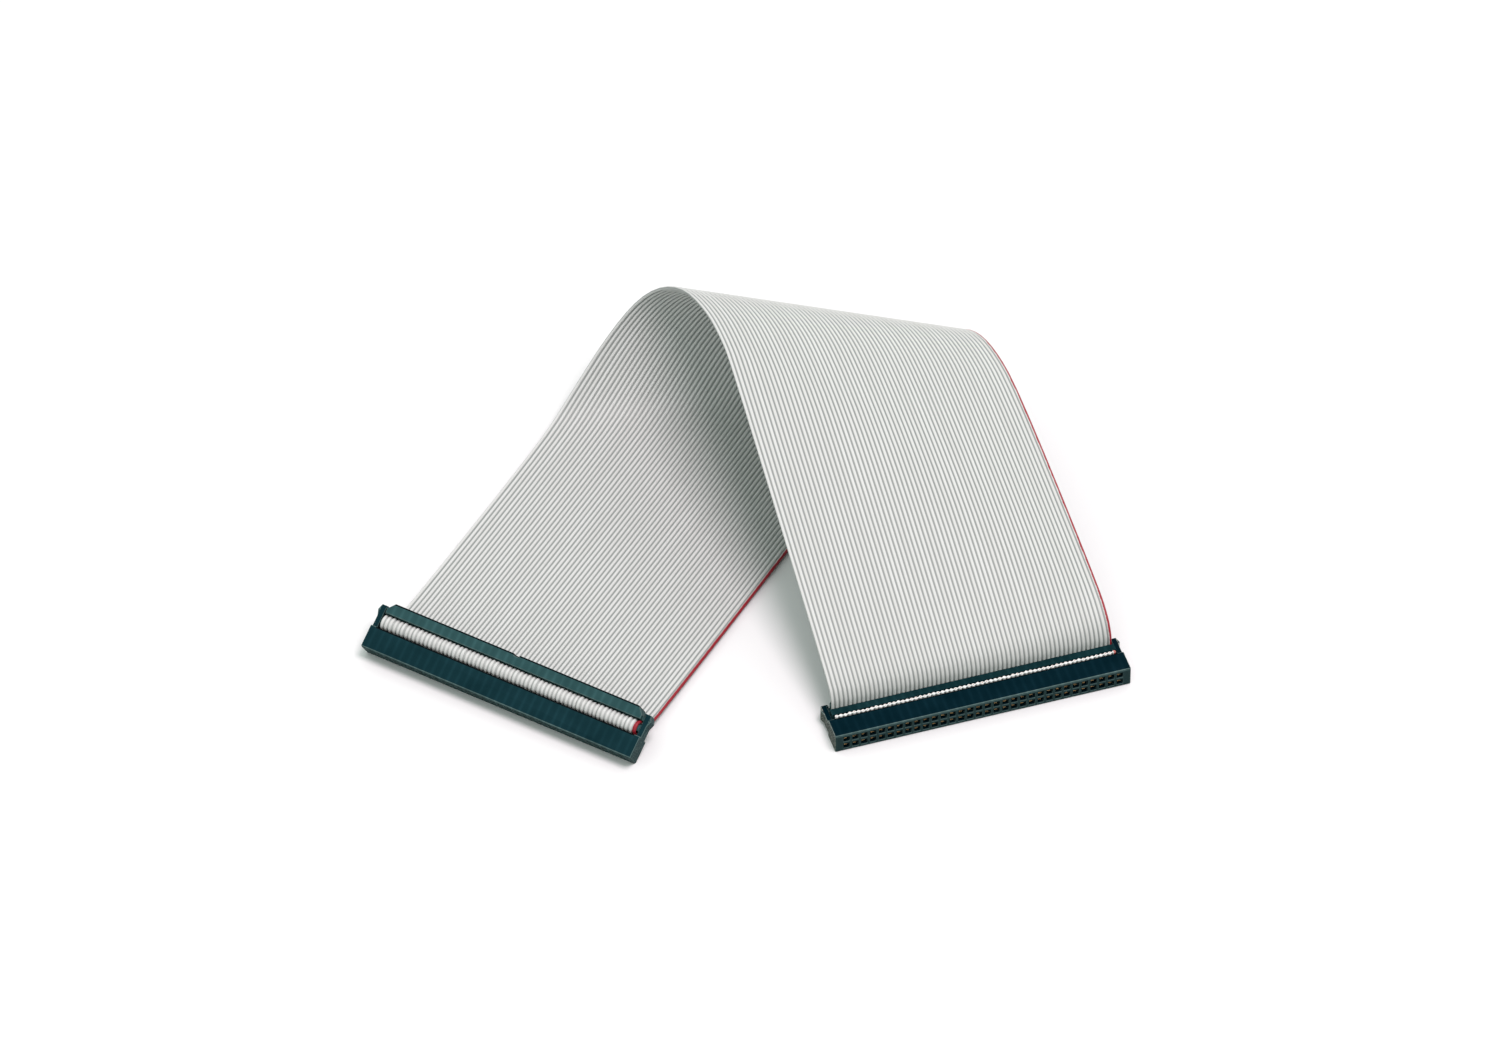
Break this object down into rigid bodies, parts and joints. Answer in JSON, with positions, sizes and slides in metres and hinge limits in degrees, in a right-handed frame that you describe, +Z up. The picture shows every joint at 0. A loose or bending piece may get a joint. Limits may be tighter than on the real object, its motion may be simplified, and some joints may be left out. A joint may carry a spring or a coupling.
{
  "type": "ribbon cable",
  "caption": "Flat grey ribbon cable lying in a loose loop, with a dark pin socket, cover and strain relief pressed on at each end; it joins two pin headers.",
  "frame": {"origin": "under the middle of the whole cable's box, on the table it lies on", "axes": "+Z up from the table, +X from the left socket to the right one along the longest extent, +Y away from the viewer"},
  "size_m": [0.2116, 0.1486, 0.0533],
  "materials": {
    "cable_insulation": "satin grey vinyl with a dark red index edge",
    "socket_plastic": "satin moulded, near black",
    "contact_metal": "plated, slightly dull"
  },
  "bodies": {
    "root": {"flat_cable": "cable_insulation", "left_socket_body": "socket_plastic", "left_cover": "socket_plastic", "left_strain_relief": "socket_plastic", "left_contacts_row_1": "contact_metal", "left_contacts_row_2": "contact_metal", "right_socket_body": "socket_plastic", "right_cover": "socket_plastic", "right_strain_relief": "socket_plastic", "right_contacts_row_1": "contact_metal", "right_contacts_row_2": "contact_metal"}
  },
  "joints": []
}
